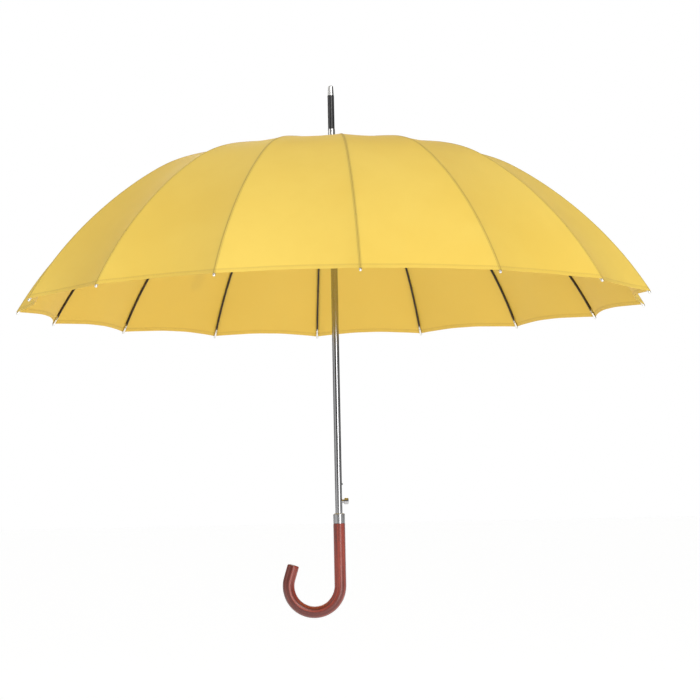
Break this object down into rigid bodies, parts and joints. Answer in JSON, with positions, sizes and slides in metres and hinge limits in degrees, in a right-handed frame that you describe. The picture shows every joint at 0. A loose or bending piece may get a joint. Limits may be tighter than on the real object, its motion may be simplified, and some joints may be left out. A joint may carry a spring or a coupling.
{
  "type": "stick umbrella",
  "caption": "Open stick umbrella with a many-panelled yellow cloth canopy, folding ribs, spring-driven runner, push button and wooden crook handle.",
  "frame": {"origin": "on the shaft's axis, in the middle of the straight grip, 50 mm under the metal collar", "axes": "+Z along the shaft to the ferrule; the crook turns towards -X, and the push button faces +X"},
  "size_m": [1.037, 1.037, 0.8788],
  "materials": {
    "chrome": "polished chrome plate",
    "nickel": "bright nickel plate",
    "wire": "drawn wire",
    "spring_steel": "bare spring wire",
    "black_metal": "semi-gloss black enamel",
    "black_plastic": "moulded black nylon",
    "rib_steel": "black lacquered fluted steel",
    "mahogany": "red-brown lacquered bent wood",
    "yellow_cloth": "plain-woven pongee"
  },
  "bodies": {
    "shaft": {"shaft_tube": "chrome", "crown_hub": "black_plastic", "crown_wire": "wire", "crown_cap": "nickel", "ferrule_tube": "black_metal", "ferrule_tip": "nickel", "opening_spring": "spring_steel", "handle_collar": "chrome", "crook_handle": "mahogany", "canopy": "yellow_cloth"},
    "runner": {"runner": "black_plastic"},
    "button": {"push_button": "nickel"},
    "rib_inner_01": {"rib_inner_01": "rib_steel"},
    "rib_outer_01": {"rib_outer_01": "rib_steel"},
    "stretcher_01": {"stretcher_01": "rib_steel"},
    "rib_inner_02": {"rib_inner_02": "rib_steel"},
    "rib_outer_02": {"rib_outer_02": "rib_steel"},
    "stretcher_02": {"stretcher_02": "rib_steel"},
    "rib_inner_03": {"rib_inner_03": "rib_steel"},
    "rib_outer_03": {"rib_outer_03": "rib_steel"},
    "stretcher_03": {"stretcher_03": "rib_steel"},
    "rib_inner_04": {"rib_inner_04": "rib_steel"},
    "rib_outer_04": {"rib_outer_04": "rib_steel"},
    "stretcher_04": {"stretcher_04": "rib_steel"},
    "rib_inner_05": {"rib_inner_05": "rib_steel"},
    "rib_outer_05": {"rib_outer_05": "rib_steel"},
    "stretcher_05": {"stretcher_05": "rib_steel"},
    "rib_inner_06": {"rib_inner_06": "rib_steel"},
    "rib_outer_06": {"rib_outer_06": "rib_steel"},
    "stretcher_06": {"stretcher_06": "rib_steel"},
    "rib_inner_07": {"rib_inner_07": "rib_steel"},
    "rib_outer_07": {"rib_outer_07": "rib_steel"},
    "stretcher_07": {"stretcher_07": "rib_steel"},
    "rib_inner_08": {"rib_inner_08": "rib_steel"},
    "rib_outer_08": {"rib_outer_08": "rib_steel"},
    "stretcher_08": {"stretcher_08": "rib_steel"},
    "rib_inner_09": {"rib_inner_09": "rib_steel"},
    "rib_outer_09": {"rib_outer_09": "rib_steel"},
    "stretcher_09": {"stretcher_09": "rib_steel"},
    "rib_inner_10": {"rib_inner_10": "rib_steel"},
    "rib_outer_10": {"rib_outer_10": "rib_steel"},
    "stretcher_10": {"stretcher_10": "rib_steel"},
    "rib_inner_11": {"rib_inner_11": "rib_steel"},
    "rib_outer_11": {"rib_outer_11": "rib_steel"},
    "stretcher_11": {"stretcher_11": "rib_steel"},
    "rib_inner_12": {"rib_inner_12": "rib_steel"},
    "rib_outer_12": {"rib_outer_12": "rib_steel"},
    "stretcher_12": {"stretcher_12": "rib_steel"},
    "rib_inner_13": {"rib_inner_13": "rib_steel"},
    "rib_outer_13": {"rib_outer_13": "rib_steel"},
    "stretcher_13": {"stretcher_13": "rib_steel"},
    "rib_inner_14": {"rib_inner_14": "rib_steel"},
    "rib_outer_14": {"rib_outer_14": "rib_steel"},
    "stretcher_14": {"stretcher_14": "rib_steel"},
    "rib_inner_15": {"rib_inner_15": "rib_steel"},
    "rib_outer_15": {"rib_outer_15": "rib_steel"},
    "stretcher_15": {"stretcher_15": "rib_steel"},
    "rib_inner_16": {"rib_inner_16": "rib_steel"},
    "rib_outer_16": {"rib_outer_16": "rib_steel"},
    "stretcher_16": {"stretcher_16": "rib_steel"}
  },
  "joints": [
    {"name": "runner_slide", "type": "slide", "parent": "shaft", "child": "runner", "axis": [0, 0, -1], "range_m": [0, 0.3646], "stiffness_N_per_m": 60, "springref_m": -0.15, "deforming": ["opening_spring", "canopy"]},
    {"name": "button_press", "type": "slide", "parent": "shaft", "child": "button", "axis": [-1, 0, 0], "range_m": [0, 0.0025], "stiffness_N_per_m": 800, "springref_m": -0.001},
    {"name": "rib_fold_01", "type": "hinge", "parent": "shaft", "child": "rib_inner_01", "pos_m": [0.01047, 0.00081, 0.68], "axis": [-0.0771, 0.997, 0], "range_deg": [0, 78.72]},
    {"name": "rib_flex_01", "type": "hinge", "parent": "rib_inner_01", "child": "rib_outer_01", "pos_m": [0.26122, 0.02019, 0.636], "axis": [-0.0771, 0.997, 0], "range_deg": [-31.58, 0]},
    {"name": "stretcher_fold_01", "type": "hinge", "parent": "rib_inner_01", "child": "stretcher_01", "pos_m": [0.25268, 0.01953, 0.63344], "axis": [-0.0771, 0.997, 0], "range_deg": [-146.51, 0]},
    {"name": "rib_fold_02", "type": "hinge", "parent": "shaft", "child": "rib_inner_02", "pos_m": [0.00936, 0.00475, 0.68], "axis": [-0.4527, 0.8916, 0], "range_deg": [0, 78.72]},
    {"name": "rib_flex_02", "type": "hinge", "parent": "rib_inner_02", "child": "rib_outer_02", "pos_m": [0.23361, 0.11862, 0.636], "axis": [-0.4527, 0.8916, 0], "range_deg": [-31.58, 0]},
    {"name": "stretcher_fold_02", "type": "hinge", "parent": "rib_inner_02", "child": "stretcher_02", "pos_m": [0.22597, 0.11474, 0.63344], "axis": [-0.4527, 0.8916, 0], "range_deg": [-146.51, 0]},
    {"name": "rib_fold_03", "type": "hinge", "parent": "shaft", "child": "rib_inner_03", "pos_m": [0.00683, 0.00797, 0.68], "axis": [-0.7595, 0.6505, 0], "range_deg": [0, 78.72]},
    {"name": "rib_flex_03", "type": "hinge", "parent": "rib_inner_03", "child": "rib_outer_03", "pos_m": [0.17043, 0.19899, 0.636], "axis": [-0.7595, 0.6505, 0], "range_deg": [-31.58, 0]},
    {"name": "stretcher_fold_03", "type": "hinge", "parent": "rib_inner_03", "child": "stretcher_03", "pos_m": [0.16486, 0.19248, 0.63344], "axis": [-0.7595, 0.6505, 0], "range_deg": [-146.51, 0]},
    {"name": "rib_fold_04", "type": "hinge", "parent": "shaft", "child": "rib_inner_04", "pos_m": [0.00326, 0.00998, 0.68], "axis": [-0.9506, 0.3103, 0], "range_deg": [0, 78.72]},
    {"name": "rib_flex_04", "type": "hinge", "parent": "rib_inner_04", "child": "rib_outer_04", "pos_m": [0.08131, 0.24906, 0.636], "axis": [-0.9506, 0.3103, 0], "range_deg": [-31.58, 0]},
    {"name": "stretcher_fold_04", "type": "hinge", "parent": "rib_inner_04", "child": "stretcher_04", "pos_m": [0.07865, 0.24092, 0.63344], "axis": [-0.9506, 0.3103, 0], "range_deg": [-146.51, 0]},
    {"name": "rib_fold_05", "type": "hinge", "parent": "shaft", "child": "rib_inner_05", "pos_m": [-0.00081, 0.01047, 0.68], "axis": [-0.997, -0.0771, 0], "range_deg": [0, 78.72]},
    {"name": "rib_flex_05", "type": "hinge", "parent": "rib_inner_05", "child": "rib_outer_05", "pos_m": [-0.02019, 0.26122, 0.636], "axis": [-0.997, -0.0771, 0], "range_deg": [-31.58, 0]},
    {"name": "stretcher_fold_05", "type": "hinge", "parent": "rib_inner_05", "child": "stretcher_05", "pos_m": [-0.01953, 0.25268, 0.63344], "axis": [-0.997, -0.0771, 0], "range_deg": [-146.51, 0]},
    {"name": "rib_fold_06", "type": "hinge", "parent": "shaft", "child": "rib_inner_06", "pos_m": [-0.00475, 0.00936, 0.68], "axis": [-0.8916, -0.4527, 0], "range_deg": [0, 78.72]},
    {"name": "rib_flex_06", "type": "hinge", "parent": "rib_inner_06", "child": "rib_outer_06", "pos_m": [-0.11862, 0.23361, 0.636], "axis": [-0.8916, -0.4527, 0], "range_deg": [-31.58, 0]},
    {"name": "stretcher_fold_06", "type": "hinge", "parent": "rib_inner_06", "child": "stretcher_06", "pos_m": [-0.11474, 0.22597, 0.63344], "axis": [-0.8916, -0.4527, 0], "range_deg": [-146.51, 0]},
    {"name": "rib_fold_07", "type": "hinge", "parent": "shaft", "child": "rib_inner_07", "pos_m": [-0.00797, 0.00683, 0.68], "axis": [-0.6505, -0.7595, 0], "range_deg": [0, 78.72]},
    {"name": "rib_flex_07", "type": "hinge", "parent": "rib_inner_07", "child": "rib_outer_07", "pos_m": [-0.19899, 0.17043, 0.636], "axis": [-0.6505, -0.7595, 0], "range_deg": [-31.58, 0]},
    {"name": "stretcher_fold_07", "type": "hinge", "parent": "rib_inner_07", "child": "stretcher_07", "pos_m": [-0.19248, 0.16486, 0.63344], "axis": [-0.6505, -0.7595, 0], "range_deg": [-146.51, 0]},
    {"name": "rib_fold_08", "type": "hinge", "parent": "shaft", "child": "rib_inner_08", "pos_m": [-0.00998, 0.00326, 0.68], "axis": [-0.3103, -0.9506, 0], "range_deg": [0, 78.72]},
    {"name": "rib_flex_08", "type": "hinge", "parent": "rib_inner_08", "child": "rib_outer_08", "pos_m": [-0.24906, 0.08131, 0.636], "axis": [-0.3103, -0.9506, 0], "range_deg": [-31.58, 0]},
    {"name": "stretcher_fold_08", "type": "hinge", "parent": "rib_inner_08", "child": "stretcher_08", "pos_m": [-0.24092, 0.07865, 0.63344], "axis": [-0.3103, -0.9506, 0], "range_deg": [-146.51, 0]},
    {"name": "rib_fold_09", "type": "hinge", "parent": "shaft", "child": "rib_inner_09", "pos_m": [-0.01047, -0.00081, 0.68], "axis": [0.0771, -0.997, 0], "range_deg": [0, 78.72]},
    {"name": "rib_flex_09", "type": "hinge", "parent": "rib_inner_09", "child": "rib_outer_09", "pos_m": [-0.26122, -0.02019, 0.636], "axis": [0.0771, -0.997, 0], "range_deg": [-31.58, 0]},
    {"name": "stretcher_fold_09", "type": "hinge", "parent": "rib_inner_09", "child": "stretcher_09", "pos_m": [-0.25268, -0.01953, 0.63344], "axis": [0.0771, -0.997, 0], "range_deg": [-146.51, 0]},
    {"name": "rib_fold_10", "type": "hinge", "parent": "shaft", "child": "rib_inner_10", "pos_m": [-0.00936, -0.00475, 0.68], "axis": [0.4527, -0.8916, 0], "range_deg": [0, 78.72]},
    {"name": "rib_flex_10", "type": "hinge", "parent": "rib_inner_10", "child": "rib_outer_10", "pos_m": [-0.23361, -0.11862, 0.636], "axis": [0.4527, -0.8916, 0], "range_deg": [-31.58, 0]},
    {"name": "stretcher_fold_10", "type": "hinge", "parent": "rib_inner_10", "child": "stretcher_10", "pos_m": [-0.22597, -0.11474, 0.63344], "axis": [0.4527, -0.8916, 0], "range_deg": [-146.51, 0]},
    {"name": "rib_fold_11", "type": "hinge", "parent": "shaft", "child": "rib_inner_11", "pos_m": [-0.00683, -0.00797, 0.68], "axis": [0.7595, -0.6505, 0], "range_deg": [0, 78.72]},
    {"name": "rib_flex_11", "type": "hinge", "parent": "rib_inner_11", "child": "rib_outer_11", "pos_m": [-0.17043, -0.19899, 0.636], "axis": [0.7595, -0.6505, 0], "range_deg": [-31.58, 0]},
    {"name": "stretcher_fold_11", "type": "hinge", "parent": "rib_inner_11", "child": "stretcher_11", "pos_m": [-0.16486, -0.19248, 0.63344], "axis": [0.7595, -0.6505, 0], "range_deg": [-146.51, 0]},
    {"name": "rib_fold_12", "type": "hinge", "parent": "shaft", "child": "rib_inner_12", "pos_m": [-0.00326, -0.00998, 0.68], "axis": [0.9506, -0.3103, 0], "range_deg": [0, 78.72]},
    {"name": "rib_flex_12", "type": "hinge", "parent": "rib_inner_12", "child": "rib_outer_12", "pos_m": [-0.08131, -0.24906, 0.636], "axis": [0.9506, -0.3103, 0], "range_deg": [-31.58, 0]},
    {"name": "stretcher_fold_12", "type": "hinge", "parent": "rib_inner_12", "child": "stretcher_12", "pos_m": [-0.07865, -0.24092, 0.63344], "axis": [0.9506, -0.3103, 0], "range_deg": [-146.51, 0]},
    {"name": "rib_fold_13", "type": "hinge", "parent": "shaft", "child": "rib_inner_13", "pos_m": [0.00081, -0.01047, 0.68], "axis": [0.997, 0.0771, 0], "range_deg": [0, 78.72]},
    {"name": "rib_flex_13", "type": "hinge", "parent": "rib_inner_13", "child": "rib_outer_13", "pos_m": [0.02019, -0.26122, 0.636], "axis": [0.997, 0.0771, 0], "range_deg": [-31.58, 0]},
    {"name": "stretcher_fold_13", "type": "hinge", "parent": "rib_inner_13", "child": "stretcher_13", "pos_m": [0.01953, -0.25268, 0.63344], "axis": [0.997, 0.0771, 0], "range_deg": [-146.51, 0]},
    {"name": "rib_fold_14", "type": "hinge", "parent": "shaft", "child": "rib_inner_14", "pos_m": [0.00475, -0.00936, 0.68], "axis": [0.8916, 0.4527, 0], "range_deg": [0, 78.72]},
    {"name": "rib_flex_14", "type": "hinge", "parent": "rib_inner_14", "child": "rib_outer_14", "pos_m": [0.11862, -0.23361, 0.636], "axis": [0.8916, 0.4527, 0], "range_deg": [-31.58, 0]},
    {"name": "stretcher_fold_14", "type": "hinge", "parent": "rib_inner_14", "child": "stretcher_14", "pos_m": [0.11474, -0.22597, 0.63344], "axis": [0.8916, 0.4527, 0], "range_deg": [-146.51, 0]},
    {"name": "rib_fold_15", "type": "hinge", "parent": "shaft", "child": "rib_inner_15", "pos_m": [0.00797, -0.00683, 0.68], "axis": [0.6505, 0.7595, 0], "range_deg": [0, 78.72]},
    {"name": "rib_flex_15", "type": "hinge", "parent": "rib_inner_15", "child": "rib_outer_15", "pos_m": [0.19899, -0.17043, 0.636], "axis": [0.6505, 0.7595, 0], "range_deg": [-31.58, 0]},
    {"name": "stretcher_fold_15", "type": "hinge", "parent": "rib_inner_15", "child": "stretcher_15", "pos_m": [0.19248, -0.16486, 0.63344], "axis": [0.6505, 0.7595, 0], "range_deg": [-146.51, 0]},
    {"name": "rib_fold_16", "type": "hinge", "parent": "shaft", "child": "rib_inner_16", "pos_m": [0.00998, -0.00326, 0.68], "axis": [0.3103, 0.9506, 0], "range_deg": [0, 78.72]},
    {"name": "rib_flex_16", "type": "hinge", "parent": "rib_inner_16", "child": "rib_outer_16", "pos_m": [0.24906, -0.08131, 0.636], "axis": [0.3103, 0.9506, 0], "range_deg": [-31.58, 0]},
    {"name": "stretcher_fold_16", "type": "hinge", "parent": "rib_inner_16", "child": "stretcher_16", "pos_m": [0.24092, -0.07865, 0.63344], "axis": [0.3103, 0.9506, 0], "range_deg": [-146.51, 0]}
  ],
  "couplings": [
    {"joint": "rib_fold_01", "follows": "runner_slide", "rad_per_m": 3.7677},
    {"joint": "rib_flex_01", "follows": "runner_slide", "rad_per_m": -1.5113},
    {"joint": "stretcher_fold_01", "follows": "runner_slide", "rad_per_m": -7.013},
    {"joint": "rib_fold_02", "follows": "runner_slide", "rad_per_m": 3.7677},
    {"joint": "rib_flex_02", "follows": "runner_slide", "rad_per_m": -1.5113},
    {"joint": "stretcher_fold_02", "follows": "runner_slide", "rad_per_m": -7.013},
    {"joint": "rib_fold_03", "follows": "runner_slide", "rad_per_m": 3.7677},
    {"joint": "rib_flex_03", "follows": "runner_slide", "rad_per_m": -1.5113},
    {"joint": "stretcher_fold_03", "follows": "runner_slide", "rad_per_m": -7.013},
    {"joint": "rib_fold_04", "follows": "runner_slide", "rad_per_m": 3.7677},
    {"joint": "rib_flex_04", "follows": "runner_slide", "rad_per_m": -1.5113},
    {"joint": "stretcher_fold_04", "follows": "runner_slide", "rad_per_m": -7.013},
    {"joint": "rib_fold_05", "follows": "runner_slide", "rad_per_m": 3.7677},
    {"joint": "rib_flex_05", "follows": "runner_slide", "rad_per_m": -1.5113},
    {"joint": "stretcher_fold_05", "follows": "runner_slide", "rad_per_m": -7.013},
    {"joint": "rib_fold_06", "follows": "runner_slide", "rad_per_m": 3.7677},
    {"joint": "rib_flex_06", "follows": "runner_slide", "rad_per_m": -1.5113},
    {"joint": "stretcher_fold_06", "follows": "runner_slide", "rad_per_m": -7.013},
    {"joint": "rib_fold_07", "follows": "runner_slide", "rad_per_m": 3.7677},
    {"joint": "rib_flex_07", "follows": "runner_slide", "rad_per_m": -1.5113},
    {"joint": "stretcher_fold_07", "follows": "runner_slide", "rad_per_m": -7.013},
    {"joint": "rib_fold_08", "follows": "runner_slide", "rad_per_m": 3.7677},
    {"joint": "rib_flex_08", "follows": "runner_slide", "rad_per_m": -1.5113},
    {"joint": "stretcher_fold_08", "follows": "runner_slide", "rad_per_m": -7.013},
    {"joint": "rib_fold_09", "follows": "runner_slide", "rad_per_m": 3.7677},
    {"joint": "rib_flex_09", "follows": "runner_slide", "rad_per_m": -1.5113},
    {"joint": "stretcher_fold_09", "follows": "runner_slide", "rad_per_m": -7.013},
    {"joint": "rib_fold_10", "follows": "runner_slide", "rad_per_m": 3.7677},
    {"joint": "rib_flex_10", "follows": "runner_slide", "rad_per_m": -1.5113},
    {"joint": "stretcher_fold_10", "follows": "runner_slide", "rad_per_m": -7.013},
    {"joint": "rib_fold_11", "follows": "runner_slide", "rad_per_m": 3.7677},
    {"joint": "rib_flex_11", "follows": "runner_slide", "rad_per_m": -1.5113},
    {"joint": "stretcher_fold_11", "follows": "runner_slide", "rad_per_m": -7.013},
    {"joint": "rib_fold_12", "follows": "runner_slide", "rad_per_m": 3.7677},
    {"joint": "rib_flex_12", "follows": "runner_slide", "rad_per_m": -1.5113},
    {"joint": "stretcher_fold_12", "follows": "runner_slide", "rad_per_m": -7.013},
    {"joint": "rib_fold_13", "follows": "runner_slide", "rad_per_m": 3.7677},
    {"joint": "rib_flex_13", "follows": "runner_slide", "rad_per_m": -1.5113},
    {"joint": "stretcher_fold_13", "follows": "runner_slide", "rad_per_m": -7.013},
    {"joint": "rib_fold_14", "follows": "runner_slide", "rad_per_m": 3.7677},
    {"joint": "rib_flex_14", "follows": "runner_slide", "rad_per_m": -1.5113},
    {"joint": "stretcher_fold_14", "follows": "runner_slide", "rad_per_m": -7.013},
    {"joint": "rib_fold_15", "follows": "runner_slide", "rad_per_m": 3.7677},
    {"joint": "rib_flex_15", "follows": "runner_slide", "rad_per_m": -1.5113},
    {"joint": "stretcher_fold_15", "follows": "runner_slide", "rad_per_m": -7.013},
    {"joint": "rib_fold_16", "follows": "runner_slide", "rad_per_m": 3.7677},
    {"joint": "rib_flex_16", "follows": "runner_slide", "rad_per_m": -1.5113},
    {"joint": "stretcher_fold_16", "follows": "runner_slide", "rad_per_m": -7.013}
  ]
}
